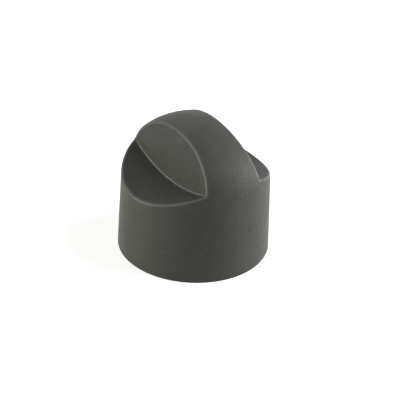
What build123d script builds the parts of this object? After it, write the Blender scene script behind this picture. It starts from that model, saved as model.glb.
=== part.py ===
from build123d import *

import os
from math import asin, cos, pi, radians, sin, tan

# Steam knob of an espresso machine, in millimetres.
# One hollow plastic moulding with a finger scoop on each side, and a steel ring that closes its split hub
# on the spindle of the steam valve. The spindle's axis is Z, the rim of the skirt is at Z = 0, and the grip
# between the two scoops runs along X.

# Outside of the knob
knob_diameter = 40.0  # across the skirt at its rim
draft_angle = 1.4  # lean of the skirt, in degrees
shoulder_height = 22.7  # where the skirt turns into the dome
dome_rise = 13.6  # top of the dome above the shoulder
grip_foot_width = 17.6  # grip where its sides meet the scoop floors
grip_taper = 11.6  # lean of each side of the grip, in degrees
scoop_drop = 0.3  # scoop floor below the shoulder, at the middle of the grip's foot
scoop_radius = 52.0  # hollow of the scoop floor along the grip
scoop_fall = 11.4  # slope of the scoop floor, down and outwards, in degrees
edge_rounding = 0.7  # around the outline of each scoop
foot_rounding = 0.6  # where the grip's sides meet the scoop floors
rim_rounding = 0.2  # outer edge of the rim

# Inside of the knob
wall = 2.0
hub_diameter = 13.0
hub_recess = 5.0  # mouth of the hub above the rim
hub_chamfer = 0.4  # outer edge of the mouth, which leads the ring on
web_thickness = 1.6
web_clearance = 0.5  # webs above the ends of the slots, so that the jaws can spring
web_rounding = 0.5  # where the webs meet the hub

# Socket for a spindle with one flat
spindle_diameter = 8.0
spindle_across_flat = 6.5
socket_clearance = 0.05  # on each side of the spindle
socket_depth = 16.0
mouth_clearance = 0.3  # on each side of the spindle, in the round mouth that leads it in
mouth_depth = 3.0
core_diameter = 6.0  # hole that thins the hub above the socket
slot_width = 1.2  # cut that splits the hub into two jaws
slot_depth = 8.0

# Ring around the jaws
ring_thickness = 0.8
ring_height = 3.8
ring_opening = 3.0
ring_end_rounding = 0.3
ring_setback = 2.0  # lower side of the groove above the mouth of the hub
groove_depth = 0.6
ring_clearance = 0.05  # between the ring and its groove

rim_radius = knob_diameter / 2
knob_height = shoulder_height + dome_rise
grip_foot = grip_foot_width / 2
scoop_height = shoulder_height - scoop_drop
hub_radius = hub_diameter / 2
web_height = hub_recess + slot_depth + web_clearance
socket_radius = spindle_diameter / 2 + socket_clearance
socket_flat = spindle_across_flat - spindle_diameter / 2 + socket_clearance
mouth_radius = spindle_diameter / 2 + mouth_clearance
socket_end = hub_recess + socket_depth
groove_radius = hub_radius - groove_depth
groove_base = hub_recess + ring_setback
groove_height = ring_height + 2 * ring_clearance


def turned_form(inset):
    # Skirt and dome. The dome is a quarter of an ellipse that leaves the skirt without a corner, drawn as a
    # weighted curve towards the point where the skirt would reach the height of the top.
    lean = tan(radians(draft_angle))
    foot_radius = rim_radius - inset
    shoulder_radius = foot_radius - shoulder_height * lean
    rise = dome_rise - inset
    top = shoulder_height + rise
    start_angle = asin(rise * lean / shoulder_radius)
    start = (shoulder_radius * cos(start_angle) ** 2, shoulder_height + rise * sin(start_angle))
    corner = (shoulder_radius - rise * lean, top)
    corner_weight = cos((pi / 2 - start_angle) / 2)
    with BuildPart() as form:
        with BuildSketch(Plane.XZ):
            with BuildLine():
                Bezier(start, corner, (0, top), weights=(1, corner_weight, 1))
                Polyline(start, (foot_radius, 0), (0, 0), (0, top))
            make_face()
        revolve(axis=Axis.Z)
    return form.part


def finger_scoop(inset):
    # Room for a finger on the -Y side: a lying cylinder for the floor, cut off along the side of the grip.
    fall = radians(scoop_fall)
    taper = radians(grip_taper)
    foot = (0, -grip_foot, scoop_height)
    outwards = Plane(foot, x_dir=(1, 0, 0), z_dir=(0, -cos(fall), -sin(fall)))
    grip_side = Plane(foot, x_dir=(1, 0, 0), z_dir=(0, -cos(taper), sin(taper)))
    with BuildPart() as scoop:
        with BuildSketch(outwards):
            with Locations((0, scoop_radius)):
                Circle(scoop_radius + inset)
        extrude(amount=knob_diameter, both=True)
        split(bisect_by=grip_side.offset(-inset), keep=Keep.TOP)
    return scoop.part


def knob_form(inset):
    # The whole outside of the knob, or the same form a wall further in.
    turned = turned_form(inset)
    scoop = finger_scoop(inset)
    with BuildPart() as form:
        add(turned)
        add(scoop, mode=Mode.SUBTRACT)
        mirror(scoop, about=Plane.XZ, mode=Mode.SUBTRACT)
    return form.part


outside = knob_form(0)
inside = knob_form(wall)

# Hollow of the moulding: open at the rim, around a hub that four webs tie to the skirt.
with BuildPart() as hollow:
    add(inside)
    with BuildSketch(Plane.XY.offset(hub_recess)):
        Circle(hub_radius)
    extrude(amount=knob_height, mode=Mode.SUBTRACT)
    with BuildSketch(Plane.XY.offset(web_height)):
        Circle(hub_radius)
        Rectangle(knob_diameter, web_thickness)
        Rectangle(web_thickness, knob_diameter)
        fillet(vertices().group_by(SortBy.DISTANCE)[0], web_rounding)
    extrude(amount=knob_height, mode=Mode.SUBTRACT)

with BuildPart() as knob_body:
    add(outside)
    for side in (-1, 1):
        foot_edge = edges().sort_by_distance((0, side * grip_foot, scoop_height))[0]
        fillet(foot_edge, foot_rounding)
    turned_faces = faces().filter_by(GeomType.CONE) + faces().filter_by(GeomType.REVOLUTION)
    scoop_outlines = turned_faces.edges().filter_by(GeomType.CIRCLE, reverse=True)
    scoop_outlines = scoop_outlines.filter_by(lambda edge: abs(edge.center().Y) > edge_rounding)
    fillet(scoop_outlines, edge_rounding)
    fillet(edges().group_by(Axis.Z)[0], rim_rounding)
    add(hollow.part, mode=Mode.SUBTRACT)
    # The hub: socket with its round mouth, the hole above it, the cut between the jaws and the ring's groove.
    hub_end = faces().filter_by(Plane.XY).sort_by_distance((0, 0, hub_recess))[0]
    chamfer(hub_end.edges(), hub_chamfer)
    with BuildSketch(Plane.XY.offset(hub_recess)):
        Circle(socket_radius)
        with Locations((0, socket_flat)):
            Rectangle(spindle_diameter, spindle_diameter, align=(Align.CENTER, Align.MIN), mode=Mode.SUBTRACT)
    extrude(amount=socket_depth, mode=Mode.SUBTRACT)
    with BuildSketch(Plane.XY.offset(hub_recess)):
        Circle(mouth_radius)
    extrude(amount=mouth_depth, mode=Mode.SUBTRACT)
    with BuildSketch(Plane.XY.offset(socket_end)):
        Circle(core_diameter / 2)
    extrude(amount=knob_height - wall - socket_end, mode=Mode.SUBTRACT)
    with BuildSketch(Plane.XY.offset(hub_recess)):
        Rectangle(hub_diameter, slot_width)
    extrude(amount=slot_depth, mode=Mode.SUBTRACT)
    with BuildSketch(Plane.XY.offset(groove_base)):
        Circle(hub_radius)
        Circle(groove_radius, mode=Mode.SUBTRACT)
    extrude(amount=groove_height, mode=Mode.SUBTRACT)

with BuildPart() as hub_ring:
    with BuildSketch(Plane.XY.offset(groove_base + ring_clearance)):
        Circle(groove_radius + ring_clearance + ring_thickness)
        Circle(groove_radius + ring_clearance, mode=Mode.SUBTRACT)
        with Locations((0, -hub_radius)):
            Rectangle(ring_opening, hub_diameter, mode=Mode.SUBTRACT)
    extrude(amount=ring_height)
    fillet(edges().filter_by(Axis.Z), ring_end_rounding)

os.makedirs("parts", exist_ok=True)

knob_body.part.label = "knob_body"
export_step(knob_body.part, "parts/knob_body.step")

hub_ring.part.label = "hub_ring"
export_step(hub_ring.part, "parts/hub_ring.step")
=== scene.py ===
import bpy
from math import asin, cos, pi, radians, sin, tan
from mathutils import Matrix, Vector


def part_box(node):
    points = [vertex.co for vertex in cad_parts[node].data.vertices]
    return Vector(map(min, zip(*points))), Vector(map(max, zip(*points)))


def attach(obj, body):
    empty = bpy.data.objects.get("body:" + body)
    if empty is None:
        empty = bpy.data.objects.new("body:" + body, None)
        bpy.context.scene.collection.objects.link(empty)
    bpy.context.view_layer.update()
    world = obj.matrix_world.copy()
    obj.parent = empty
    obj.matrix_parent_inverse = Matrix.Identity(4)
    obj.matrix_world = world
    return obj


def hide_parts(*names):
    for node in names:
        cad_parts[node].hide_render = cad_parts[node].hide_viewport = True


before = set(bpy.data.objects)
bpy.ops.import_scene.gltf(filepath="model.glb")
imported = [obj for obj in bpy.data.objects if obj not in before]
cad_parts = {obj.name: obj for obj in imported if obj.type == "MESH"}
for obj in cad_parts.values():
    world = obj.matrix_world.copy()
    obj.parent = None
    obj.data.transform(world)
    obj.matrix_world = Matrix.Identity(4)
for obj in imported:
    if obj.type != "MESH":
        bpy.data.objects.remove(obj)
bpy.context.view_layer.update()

mm = 0.001
scene = bpy.context.scene
scene.view_settings.view_transform = "Standard"


def linearColor(hexCode):
    channels = [int(hexCode[i:i + 2], 16) / 255 for i in (1, 3, 5)]
    return [c / 12.92 if c <= 0.04045 else ((c + 0.055) / 1.055) ** 2.4 for c in channels] + [1.0]


def addNode(tree, kind, settings=(), links=()):
    # settings hold a node's own attributes by name, or its sockets by name or number
    # links hold the source of each socket
    node = tree.nodes.new(kind)
    for key, value in dict(settings).items():
        if isinstance(key, str) and hasattr(node, key):
            setattr(node, key, value)
        else:
            node.inputs[key].default_value = value
    for key, source in dict(links).items():
        tree.links.new(source, node.inputs[key])
    return node


def newMaterial(name):
    material = bpy.data.materials.new(name)
    material.use_nodes = True
    tree = material.node_tree
    return material, tree, tree.nodes["Principled BSDF"]


# Camera
shot = {
    "azimuth": 55.34,  # degrees round from the front of the knob
    "elevation": 31.62,
    "roll": 2.42,  # the knob leans a little to the right in the picture
    "distance": 523 * mm,
    "lens": 179.2,  # millimetres, and so is the sensor's width
    "sensor": 36,
    "clipStart": 10 * mm,
    "aimHeight": 12.87 * mm,  # what the middle of the picture shows: a point above the rim
    "aimRight": 1.4 * mm,  # and to the right of the knob's axis
}


def lookFrom(azimuth, elevation):
    # right, up and back of something that looks at the knob from there
    a, e = radians(azimuth), radians(elevation)
    right = Vector((cos(a), sin(a), 0))
    back = Vector((sin(a) * cos(e), -cos(a) * cos(e), sin(e)))
    return right, back.cross(right), back


def makeCamera(shot):
    right, up, back = lookFrom(shot["azimuth"], shot["elevation"])
    roll = radians(shot["roll"])
    right, up = right * cos(roll) + up * sin(roll), up * cos(roll) - right * sin(roll)
    data = bpy.data.cameras.new("camera")
    data.lens = shot["lens"]
    data.sensor_width = shot["sensor"]
    data.clip_start = shot["clipStart"]
    camera = bpy.data.objects.new("camera", data)
    place = Matrix((right, up, back)).transposed().to_4x4()
    aim = Vector((0, 0, shot["aimHeight"])) + right * shot["aimRight"]
    place.translation = aim + back * shot["distance"]
    camera.matrix_world = place
    scene.collection.objects.link(camera)
    scene.camera = camera


makeCamera(shot)
print("camera set")


# Moulded plastic of the knob
knob = {
    "rimRadius": 20.0,  # millimetres and degrees, as in the part
    "draft": 1.4,
    "shoulder": 22.7,
    "domeRise": 13.6,
    "gripFoot": 8.8,  # half the grip's width at the scoop floors
    "gripTaper": 11.6,
    "scoopHeight": 22.4,
    "scoopRadius": 52.0,
    "scoopFall": 11.4,
    "wall": 2.0,
    "plastic": "#3f403c",
    "plasticPale": "#474843",
    "paintedShadeTone": "#d0d0d0",  # painted shade: darkens the scoops and the inside
    "paintedShadeReach": 0.5,  # this far under the dome the painted shade is full
    "edgeHighlight": "#585954",  # painted highlight along the outline of a scoop
    "creaseHighlight": "#60615c",  # painted highlight in the crease at the foot of the grip
    "fleck": "#6e6f6a",
    "ior": 1.53,
    "glossLevel": 0.2,  # the grain shades part of the gloss
    "roughness": 0.55,
    "roughnessSpread": 0.04,  # smoother and rougher than that with the clouds
    "roughnessOutline": 0.24,
    "roughnessCrease": 0.16,
    "roughnessInside": 0.34,
    "insideBlend": 0.2,  # about the middle of the wall, where the outside's finish gives way
    "outlineReach": 0.7,  # how far the painted highlight and the smoother finish go from the outline of a scoop
    "creaseReach": 0.4,  # and from the foot of the grip
    "edgeCore": 0.1,  # within this both looks are full
    "creaseRunOut": 2.5,  # the crease fades over this depth where it meets the outline
    "highlightPatch": 5.0,  # the painted edge highlights are stronger in some places, about this far apart
    "highlightLeast": 0.75,  # share of the painted highlight between those places
    "patchSpread": (0.35, 0.6),  # part of the noise that makes the patches
    "cloudSize": 7.0,
    "cloudSpread": (0.3, 0.7),
    "grainSize": 0.5,  # the real grain is about 0.05: too fine for the picture, so it is drawn coarser
    "grainDepth": 0.08,
    "turningPitch": 0.6,  # turned lines of the mould's core, also drawn coarser than the real 0.1
    "turningDepth": 0.004,
    "fleckSpacing": 6.0,
    "fleckSize": 0.22,
}


def depthsUnder(tree, place, knob):
    # how deep a point lies under the dome and skirt, under a side of the grip and under a scoop floor;
    # both halves of the knob are alike, so they are folded onto one
    fall, taper = radians(knob["scoopFall"]), radians(knob["gripTaper"])
    domeRadius = knob["rimRadius"] - knob["shoulder"] * tan(radians(knob["draft"]))
    meanRadius = (domeRadius + knob["domeRise"]) / 2
    folded = addNode(tree, "ShaderNodeVectorMath", {"operation": "ABSOLUTE"}, {0: place})
    overShoulder = addNode(tree, "ShaderNodeVectorMath",
                           {"operation": "SUBTRACT", 1: (0, 0, knob["shoulder"])}, {0: folded.outputs[0]})
    overShoulder = addNode(tree, "ShaderNodeVectorMath", {"operation": "MAXIMUM", 1: (0, 0, 0)},
                           {0: overShoulder.outputs[0]})
    onDome = addNode(tree, "ShaderNodeVectorMath",
                     {"operation": "DIVIDE", 1: (domeRadius, domeRadius, knob["domeRise"])},
                     {0: overShoulder.outputs[0]})
    onDome = addNode(tree, "ShaderNodeVectorMath", {"operation": "LENGTH"}, {0: onDome.outputs[0]})
    underDome = addNode(tree, "ShaderNodeMath",
                        {"operation": "MULTIPLY_ADD", 1: -meanRadius, 2: meanRadius},
                        {0: onDome.outputs["Value"]})
    fromFoot = addNode(tree, "ShaderNodeVectorMath",
                       {"operation": "SUBTRACT", 1: (0, knob["gripFoot"], knob["scoopHeight"])},
                       {0: folded.outputs[0]})
    underGrip = addNode(tree, "ShaderNodeVectorMath",
                        {"operation": "DOT_PRODUCT", 1: (0, -cos(taper), -sin(taper))},
                        {0: fromFoot.outputs[0]})
    overFloor = addNode(tree, "ShaderNodeVectorMath",
                        {"operation": "DOT_PRODUCT", 1: (0, sin(fall), cos(fall))},
                        {0: fromFoot.outputs[0]})
    along = addNode(tree, "ShaderNodeSeparateXYZ", (), {0: folded.outputs[0]})
    section = addNode(tree, "ShaderNodeCombineXYZ", (),
                      {"X": along.outputs["X"], "Y": overFloor.outputs["Value"]})
    fromAxis = addNode(tree, "ShaderNodeVectorMath",
                       {"operation": "DISTANCE", 1: (0, knob["scoopRadius"], 0)}, {0: section.outputs[0]})
    underFloor = addNode(tree, "ShaderNodeMath", {"operation": "SUBTRACT", 1: knob["scoopRadius"]},
                         {0: fromAxis.outputs["Value"]})
    return underDome.outputs[0], underGrip.outputs["Value"], underFloor.outputs[0]


def sparkErodedPlastic(knob):
    # ABS, moulded charcoal grey. The mould is spark-eroded outside, which gives an even fine grain that
    # spreads reflections wide, and is rubbed smoother along the edges, where highlights are painted paler.
    # The scoops and the inside have painted shade. Its turned core leaves faint rings inside.
    material, tree, shader = newMaterial("spark-eroded ABS")
    coords = addNode(tree, "ShaderNodeTexCoord")
    place = addNode(tree, "ShaderNodeVectorMath", {"operation": "SCALE", "Scale": 1 / mm},
                    {0: coords.outputs["Object"]}).outputs[0]  # from here on in millimetres

    # where a point lies: inside the knob, in a scoop or on an edge, where two depths are small at once
    underDome, underGrip, underFloor = depthsUnder(tree, place, knob)
    underScoop = addNode(tree, "ShaderNodeMath", {"operation": "MAXIMUM"},
                         {0: underGrip, 1: underFloor}).outputs[0]
    depth = addNode(tree, "ShaderNodeMath", {"operation": "MINIMUM"}, {0: underDome, 1: underScoop})
    midWall = knob["wall"] / 2
    inside = addNode(tree, "ShaderNodeMapRange",
                     {"From Min": midWall - knob["insideBlend"], "From Max": midWall + knob["insideBlend"]},
                     {"Value": depth.outputs[0]})
    paintedShadeMask = addNode(tree, "ShaderNodeMapRange", {"From Min": 0.0, "From Max": knob["paintedShadeReach"]},
                        {"Value": underDome})
    nearDome, nearScoop, nearGrip, nearFloor = [
        addNode(tree, "ShaderNodeMath", {"operation": "ABSOLUTE"}, {0: socket}).outputs[0]
        for socket in (underDome, underScoop, underGrip, underFloor)]
    toOutline = addNode(tree, "ShaderNodeMath", {"operation": "MAXIMUM"}, {0: nearDome, 1: nearScoop})
    toCrease = addNode(tree, "ShaderNodeMath", {"operation": "MAXIMUM"}, {0: nearGrip, 1: nearFloor})
    atOutline, atCrease = [
        addNode(tree, "ShaderNodeMapRange",
                {"interpolation_type": "SMOOTHSTEP", "From Min": reach, "From Max": knob["edgeCore"]},
                {"Value": distance.outputs[0]}).outputs[0]
        for distance, reach in ((toOutline, knob["outlineReach"]), (toCrease, knob["creaseReach"]))]
    runOut = addNode(tree, "ShaderNodeMapRange", {"From Min": 0.0, "From Max": knob["creaseRunOut"]},
                     {"Value": underDome})
    atCrease = addNode(tree, "ShaderNodeMath", {"operation": "MULTIPLY"},
                       {0: atCrease, 1: runOut.outputs[0]}).outputs[0]
    atEdge = addNode(tree, "ShaderNodeMath", {"operation": "MAXIMUM"},
                     {0: atOutline, 1: atCrease}).outputs[0]
    patch = addNode(tree, "ShaderNodeTexNoise", {"Scale": 1 / knob["highlightPatch"], "Detail": 2.0},
                    {"Vector": place})
    patchLow, patchHigh = knob["patchSpread"]
    patch = addNode(tree, "ShaderNodeMapRange",
                    {"From Min": patchLow, "From Max": patchHigh, "To Min": knob["highlightLeast"]},
                    {"Value": patch.outputs[0]})
    # painted highlight masks, along the outline of a scoop and in the crease at the foot of the grip
    edgeHighlight, creaseHighlightMask = [
        addNode(tree, "ShaderNodeMath", {"operation": "MULTIPLY"},
                {0: edge, 1: patch.outputs[0]}).outputs[0]
        for edge in (atOutline, atCrease)]

    # colour: soft clouds in the plastic, painted shade in the scoops, painted highlights along the outline
    # and in the crease, dust in a few flecks
    cloud = addNode(tree, "ShaderNodeTexNoise",
                    {"Scale": 1 / knob["cloudSize"], "Detail": 5.0, "Roughness": 0.72}, {"Vector": place})
    cloudLow, cloudHigh = knob["cloudSpread"]
    cloud = addNode(tree, "ShaderNodeMapRange", {"From Min": cloudLow, "From Max": cloudHigh},
                    {"Value": cloud.outputs[0]}).outputs[0]
    body = addNode(tree, "ShaderNodeMix",
                   {"data_type": "RGBA", 6: linearColor(knob["plastic"]),
                    7: linearColor(knob["plasticPale"])}, {0: cloud})
    # painted shade: the scoops and the inside are darkened by this tone
    shadedBody = addNode(tree, "ShaderNodeMix",
                    {"data_type": "RGBA", "blend_type": "MULTIPLY", 7: linearColor(knob["paintedShadeTone"])},
                    {0: paintedShadeMask.outputs[0], 6: body.outputs[2]})
    # painted highlights: paler along the outline of a scoop and in the crease
    highlighted = addNode(tree, "ShaderNodeMix", {"data_type": "RGBA", 7: linearColor(knob["edgeHighlight"])},
                    {0: edgeHighlight, 6: shadedBody.outputs[2]})
    highlighted = addNode(tree, "ShaderNodeMix", {"data_type": "RGBA", 7: linearColor(knob["creaseHighlight"])},
                    {0: creaseHighlightMask, 6: highlighted.outputs[2]})
    fleck = addNode(tree, "ShaderNodeTexVoronoi", {"Scale": 1 / knob["fleckSpacing"]}, {"Vector": place})
    fleckReach = knob["fleckSize"] / knob["fleckSpacing"]
    fleck = addNode(tree, "ShaderNodeMapRange", {"From Min": fleckReach, "From Max": fleckReach / 2},
                    {"Value": fleck.outputs["Distance"]})
    color = addNode(tree, "ShaderNodeMix", {"data_type": "RGBA", 7: linearColor(knob["fleck"])},
                    {0: fleck.outputs[0], 6: highlighted.outputs[2]})

    # gloss: uneven with the clouds, smoother along the edges and inside
    clouded = addNode(tree, "ShaderNodeMapRange",
                      {"To Min": knob["roughness"] + knob["roughnessSpread"],
                       "To Max": knob["roughness"] - knob["roughnessSpread"]}, {"Value": cloud})
    worn = addNode(tree, "ShaderNodeMix", {"data_type": "FLOAT", 3: knob["roughnessOutline"]},
                   {0: atOutline, 2: clouded.outputs[0]})
    worn = addNode(tree, "ShaderNodeMix", {"data_type": "FLOAT", 3: knob["roughnessCrease"]},
                   {0: atCrease, 2: worn.outputs[0]})
    rough = addNode(tree, "ShaderNodeMix", {"data_type": "FLOAT", 3: knob["roughnessInside"]},
                    {0: inside.outputs[0], 2: worn.outputs[0]})

    # relief: grain outside, worn off along the edges, and turned rings inside
    grain = addNode(tree, "ShaderNodeTexNoise", {"Scale": 1 / knob["grainSize"], "Detail": 2.0},
                    {"Vector": place})
    grainLeft = addNode(tree, "ShaderNodeMapRange", {"To Min": knob["grainDepth"], "To Max": 0.0},
                        {"Value": atEdge})
    grain = addNode(tree, "ShaderNodeMath", {"operation": "MULTIPLY"},
                    {0: grain.outputs[0], 1: grainLeft.outputs[0]})
    waveLength = pi / 10  # of a wave texture with a scale of 1
    rings = addNode(tree, "ShaderNodeTexWave",
                    {"wave_type": "RINGS", "rings_direction": "Z", "Distortion": 0.6, "Detail": 2.0,
                     "Detail Scale": 0.5, "Scale": waveLength / knob["turningPitch"]}, {"Vector": place})
    rings = addNode(tree, "ShaderNodeMath", {"operation": "MULTIPLY", 1: knob["turningDepth"]},
                    {0: rings.outputs[1]})
    relief = addNode(tree, "ShaderNodeMix", {"data_type": "FLOAT"},
                     {0: inside.outputs[0], 2: grain.outputs[0], 3: rings.outputs[0]})
    bump = addNode(tree, "ShaderNodeBump", {"Strength": 1.0, "Distance": mm}, {"Height": relief.outputs[0]})

    tree.links.new(color.outputs[2], shader.inputs["Base Color"])
    tree.links.new(rough.outputs[0], shader.inputs["Roughness"])
    tree.links.new(bump.outputs[0], shader.inputs["Normal"])
    shader.inputs["IOR"].default_value = knob["ior"]
    shader.inputs["Specular IOR Level"].default_value = knob["glossLevel"]
    return material


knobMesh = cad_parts["knob_body"].data
knobMesh.materials.clear()
knobMesh.materials.append(sparkErodedPlastic(knob))
print("knob in spark-eroded plastic")


# Ring of spring strip around the hub
ring = {
    "innerRadius": 5.95 * mm,
    "thickness": 0.8 * mm,
    "height": 3.8 * mm,
    "opening": 3.0 * mm,  # at the front
    "stripEdge": 0.12 * mm,  # rounding along both edges of the strip
    "cutEnd": 0.08 * mm,  # and where it was cut off
    "segments": 96,  # round the ring
    "endSegments": 2,  # over the rounding of a cut end
    "endAngle": 60,  # degrees; only the cut ends are sharper than this
    "smoothAngle": 40,
    "steel": "#a3a19b",
    "steelDark": "#7d7b76",
    "roughnessBright": 0.24,
    "roughnessDark": 0.38,
    "rollingLines": 0.48 * mm,  # broad lines apart, with finer ones between them
    "lineStretch": 5,  # how much longer than wide
    "lineDepth": 0.004 * mm,
}


def rolledSpringSteel(ring):
    # Cold-rolled spring steel strip: bright, with fine rolling lines along the strip that streak its gloss.
    material, tree, shader = newMaterial("cold-rolled spring steel")
    coords = addNode(tree, "ShaderNodeTexCoord")
    along = 1 / ring["lineStretch"]
    stretched = addNode(tree, "ShaderNodeMapping", {"Scale": (along, along, 1)},
                        {"Vector": coords.outputs["Object"]})
    lines = addNode(tree, "ShaderNodeTexNoise", {"Scale": 1 / ring["rollingLines"], "Detail": 3.0},
                    {"Vector": stretched.outputs[0]})
    color = addNode(tree, "ShaderNodeMix",
                    {"data_type": "RGBA", 6: linearColor(ring["steelDark"]), 7: linearColor(ring["steel"])},
                    {0: lines.outputs[0]})
    rough = addNode(tree, "ShaderNodeMapRange",
                    {"To Min": ring["roughnessDark"], "To Max": ring["roughnessBright"]},
                    {"Value": lines.outputs[0]})
    bump = addNode(tree, "ShaderNodeBump", {"Strength": 0.6, "Distance": ring["lineDepth"]},
                   {"Height": lines.outputs[0]})
    tree.links.new(color.outputs[2], shader.inputs["Base Color"])
    tree.links.new(rough.outputs[0], shader.inputs["Roughness"])
    tree.links.new(bump.outputs[0], shader.inputs["Normal"])
    shader.inputs["Metallic"].default_value = 1.0
    return material


def springStripTree():
    # a rectangle with rounded corners, swept round an open circle
    tree = bpy.data.node_groups.new("springStrip", "GeometryNodeTree")
    tree.interface.new_socket("Geometry", in_out="OUTPUT", socket_type="NodeSocketGeometry")
    for name in ("Radius", "Thickness", "Height", "Base", "Edge", "Start", "Sweep"):
        tree.interface.new_socket(name, in_out="INPUT", socket_type="NodeSocketFloat")
    tree.interface.new_socket("Segments", in_out="INPUT", socket_type="NodeSocketInt")
    tree.interface.new_socket("Steel", in_out="INPUT", socket_type="NodeSocketMaterial")
    sizes = addNode(tree, "NodeGroupInput").outputs
    path = addNode(tree, "GeometryNodeCurveArc", {"mode": "RADIUS"},
                   {"Resolution": sizes["Segments"], "Radius": sizes["Radius"],
                    "Start Angle": sizes["Start"], "Sweep Angle": sizes["Sweep"]})
    lift = addNode(tree, "ShaderNodeCombineXYZ", (), {"Z": sizes["Base"]})
    path = addNode(tree, "GeometryNodeSetPosition", (),
                   {"Geometry": path.outputs[0], "Offset": lift.outputs[0]})
    path = addNode(tree, "GeometryNodeSetCurveNormal", {"mode": "Z_UP"}, {"Curve": path.outputs[0]})
    profile = addNode(tree, "GeometryNodeCurvePrimitiveQuadrilateral", {"mode": "RECTANGLE"},
                      {"Width": sizes["Thickness"], "Height": sizes["Height"]})
    profile = addNode(tree, "GeometryNodeFilletCurve", {"mode": "POLY", "Count": 3},
                      {"Curve": profile.outputs[0], "Radius": sizes["Edge"]})
    strip = addNode(tree, "GeometryNodeCurveToMesh", {"Fill Caps": True},
                    {"Curve": path.outputs[0], "Profile Curve": profile.outputs[0]})
    strip = addNode(tree, "GeometryNodeRealizeInstances", (), {"Geometry": strip.outputs[0]})
    strip = addNode(tree, "GeometryNodeSetMaterial", (),
                    {"Geometry": strip.outputs[0], "Material": sizes["Steel"]})
    addNode(tree, "NodeGroupOutput", (), {0: strip.outputs[0]})
    return tree


def makeRing(ring):
    low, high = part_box("hub_ring")
    radius = ring["innerRadius"] + ring["thickness"] / 2
    halfOpening = asin(ring["opening"] / 2 / radius)
    steel = rolledSpringSteel(ring)
    values = {"Radius": radius, "Thickness": ring["thickness"], "Height": ring["height"],
              "Base": (low.z + high.z) / 2, "Edge": ring["stripEdge"], "Start": halfOpening - pi / 2,
              "Sweep": 2 * (pi - halfOpening), "Segments": ring["segments"], "Steel": steel}
    strip = bpy.data.objects.new("hubRing", bpy.data.meshes.new("hubRing"))
    scene.collection.objects.link(strip)
    nodes = strip.modifiers.new("springStrip", "NODES")
    nodes.node_group = springStripTree()
    for item in nodes.node_group.interface.items_tree:
        if item.in_out == "INPUT":
            nodes[item.identifier] = values[item.name]
    bevel = strip.modifiers.new("cutEnds", "BEVEL")
    bevel.width = ring["cutEnd"]
    bevel.segments = ring["endSegments"]
    bevel.angle_limit = radians(ring["endAngle"])
    baked = bpy.data.meshes.new_from_object(strip.evaluated_get(bpy.context.evaluated_depsgraph_get()))
    strip.modifiers.clear()
    strip.data = baked
    baked.shade_smooth()
    baked.set_sharp_from_angle(angle=radians(ring["smoothAngle"]))
    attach(strip, "root")
    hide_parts("hub_ring")


makeRing(ring)
print("spring ring on the hub")


# Studio: pale floor, white surround and soft lamps
studio = {
    "floorSize": 3.0,  # metres, as the rest of this list
    "floorDrop": 0.02 * mm,  # a hair under the rim
    "floorColor": "#e2e2e2",
    "floorRoughness": 0.9,
    "floorLift": 0.67,  # added where the floor is seen or mirrored, so that it reads white
    "surround": 0.01,  # light that the white surround gives; seen or mirrored, it is plain white
    "distance": 0.5,  # from the knob to each lamp
    # azimuth counts from the camera, positive to its right; power is in watts;
    # leftStrip and leftHigh are there to draw the edges of the scoop
    "softboxes": [
        {"name": "rightHigh", "azimuth": 93, "elevation": 46, "size": (0.34, 0.30), "power": 1.3},
        {"name": "rightMid", "azimuth": 100, "elevation": 15, "size": (0.36, 0.24), "power": 2.6},
        {"name": "leftLow", "azimuth": -78, "elevation": 7, "size": (0.42, 0.24), "power": 2.3,
         "color": "#fffff0"},  # the others are plain white
        {"name": "leftStrip", "azimuth": -88, "elevation": 37, "size": (0.50, 0.06), "power": 0.35},
        {"name": "leftHigh", "azimuth": -75, "elevation": 56, "size": (0.16, 0.10), "power": 0.3},
        {"name": "back", "azimuth": 180, "elevation": 30, "size": (0.40, 0.30), "power": 0.1},
    ],
}


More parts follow.
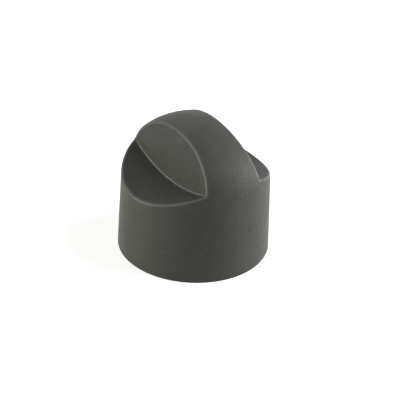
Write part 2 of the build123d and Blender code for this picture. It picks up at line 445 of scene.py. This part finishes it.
def seenOrMirrored(tree):
    # 1 for what the camera sees straight, in a reflection or through glass
    path = addNode(tree, "ShaderNodeLightPath")
    seen = addNode(tree, "ShaderNodeMath", {"operation": "MAXIMUM"},
                   {0: path.outputs["Is Camera Ray"], 1: path.outputs["Is Glossy Ray"]})
    return addNode(tree, "ShaderNodeMath", {"operation": "MAXIMUM"},
                   {0: seen.outputs[0], 1: path.outputs["Is Transmission Ray"]}).outputs[0]


def makeFloor(studio):
    half = studio["floorSize"] / 2
    z = -studio["floorDrop"]
    mesh = bpy.data.meshes.new("floor")
    corners = [(-half, -half, z), (half, -half, z), (half, half, z), (-half, half, z)]
    mesh.from_pydata(corners, [], [(0, 1, 2, 3)])
    floor = bpy.data.objects.new("floor", mesh)
    scene.collection.objects.link(floor)
    material, tree, shader = newMaterial("pale studio floor")
    lift = addNode(tree, "ShaderNodeMath", {"operation": "MULTIPLY", 1: studio["floorLift"]},
                   {0: seenOrMirrored(tree)})
    tree.links.new(lift.outputs[0], shader.inputs["Emission Strength"])
    shader.inputs["Emission Color"].default_value = (1, 1, 1, 1)
    shader.inputs["Base Color"].default_value = linearColor(studio["floorColor"])
    shader.inputs["Roughness"].default_value = studio["floorRoughness"]
    shader.inputs["Specular IOR Level"].default_value = 0.0
    mesh.materials.append(material)


def makeSurround(studio):
    world = bpy.data.worlds.new("white surround")
    scene.world = world
    world.use_nodes = True
    tree = world.node_tree
    strength = addNode(tree, "ShaderNodeMapRange", {"To Min": studio["surround"], "To Max": 1.0},
                       {"Value": seenOrMirrored(tree)})
    background = tree.nodes["Background"]
    background.inputs["Color"].default_value = (1, 1, 1, 1)
    tree.links.new(strength.outputs[0], background.inputs["Strength"])


def makeSoftbox(box):
    right, up, back = lookFrom(shot["azimuth"] + box["azimuth"], box["elevation"])
    data = bpy.data.lights.new(box["name"], "AREA")
    data.shape = "RECTANGLE"
    data.size, data.size_y = box["size"]
    data.energy = box["power"]
    data.color = linearColor(box.get("color", "#ffffff"))[:3]
    lamp = bpy.data.objects.new(box["name"], data)
    place = Matrix((right, up, back)).transposed().to_4x4()
    place.translation = Vector((0, 0, shot["aimHeight"])) + back * studio["distance"]
    lamp.matrix_world = place
    lamp.visible_camera = False
    scene.collection.objects.link(lamp)


makeFloor(studio)
makeSurround(studio)
for box in studio["softboxes"]:
    makeSoftbox(box)
print("studio lit by", len(studio["softboxes"]), "softboxes")
